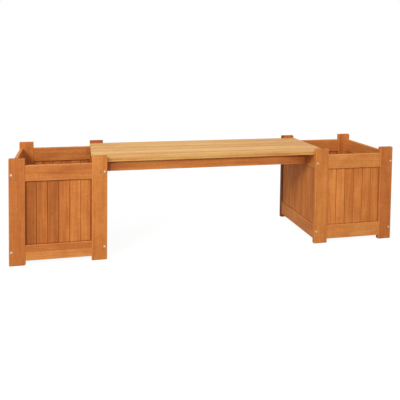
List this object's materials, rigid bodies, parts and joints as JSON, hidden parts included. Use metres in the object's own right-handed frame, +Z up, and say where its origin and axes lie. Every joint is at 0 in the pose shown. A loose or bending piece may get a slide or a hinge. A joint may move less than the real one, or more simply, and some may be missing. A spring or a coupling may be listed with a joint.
{
  "type": "planter bench",
  "caption": "Low timber garden bench whose boarded seat spans between square slatted planter boxes that stand on short post feet.",
  "frame": {"origin": "on the ground under the middle of the bench", "axes": "+Z up, +X along the bench to the right as seen from the front, -Y towards the front"},
  "size_m": [1.76, 0.4048, 0.445],
  "materials": {
    "post_timber": "planed hardwood with a warm orange-brown oil, edges eased",
    "rail_timber": "planed hardwood with a warm orange-brown oil, grain along the rail",
    "slat_timber": "planed hardwood slats with a warm orange-brown oil, tone differing from slat to slat",
    "seat_timber": "planed hardwood with a thin oil, paler than the planters, fine straight grain",
    "apron_timber": "planed hardwood with a red-brown oil",
    "floor_timber": "sawn hardwood, thinly oiled",
    "zinc_bolt": "bright zinc plate on steel"
  },
  "bodies": {
    "root": {"left_planter_front_left_post": "post_timber", "left_planter_front_right_post": "post_timber", "left_planter_rear_left_post": "post_timber", "left_planter_rear_right_post": "post_timber", "right_planter_front_left_post": "post_timber", "right_planter_front_right_post": "post_timber", "right_planter_rear_left_post": "post_timber", "right_planter_rear_right_post": "post_timber", "left_planter_front_bottom_rail": "rail_timber", "left_planter_front_top_rail": "rail_timber", "left_planter_rear_bottom_rail": "rail_timber", "left_planter_rear_top_rail": "rail_timber", "left_planter_left_side_bottom_rail": "rail_timber", "left_planter_left_side_top_rail": "rail_timber", "left_planter_right_side_bottom_rail": "rail_timber", "left_planter_right_side_top_rail": "rail_timber", "right_planter_front_bottom_rail": "rail_timber", "right_planter_front_top_rail": "rail_timber", "right_planter_rear_bottom_rail": "rail_timber", "right_planter_rear_top_rail": "rail_timber", "right_planter_left_side_bottom_rail": "rail_timber", "right_planter_left_side_top_rail": "rail_timber", "right_planter_right_side_bottom_rail": "rail_timber", "right_planter_right_side_top_rail": "rail_timber", "left_planter_front_panel": "slat_timber", "left_planter_rear_panel": "slat_timber", "left_planter_left_side_panel": "slat_timber", "left_planter_right_side_panel": "slat_timber", "right_planter_front_panel": "slat_timber", "right_planter_rear_panel": "slat_timber", "right_planter_left_side_panel": "slat_timber", "right_planter_right_side_panel": "slat_timber", "left_planter_front_left_lower_bolt": "zinc_bolt", "left_planter_front_left_upper_bolt": "zinc_bolt", "left_planter_front_right_lower_bolt": "zinc_bolt", "left_planter_front_right_upper_bolt": "zinc_bolt", "left_planter_rear_left_lower_bolt": "zinc_bolt", "left_planter_rear_left_upper_bolt": "zinc_bolt", "left_planter_rear_right_lower_bolt": "zinc_bolt", "left_planter_rear_right_upper_bolt": "zinc_bolt", "right_planter_front_left_lower_bolt": "zinc_bolt", "right_planter_front_left_upper_bolt": "zinc_bolt", "right_planter_front_right_lower_bolt": "zinc_bolt", "right_planter_front_right_upper_bolt": "zinc_bolt", "right_planter_rear_left_lower_bolt": "zinc_bolt", "right_planter_rear_left_upper_bolt": "zinc_bolt", "right_planter_rear_right_lower_bolt": "zinc_bolt", "right_planter_rear_right_upper_bolt": "zinc_bolt", "left_planter_floor": "floor_timber", "right_planter_floor": "floor_timber", "seat_board_1": "seat_timber", "seat_board_2": "seat_timber", "seat_board_3": "seat_timber", "seat_board_4": "seat_timber", "seat_board_5": "seat_timber", "front_apron": "apron_timber", "rear_apron": "apron_timber", "left_end_batten": "apron_timber", "middle_batten": "apron_timber", "right_end_batten": "apron_timber"}
  },
  "joints": []
}
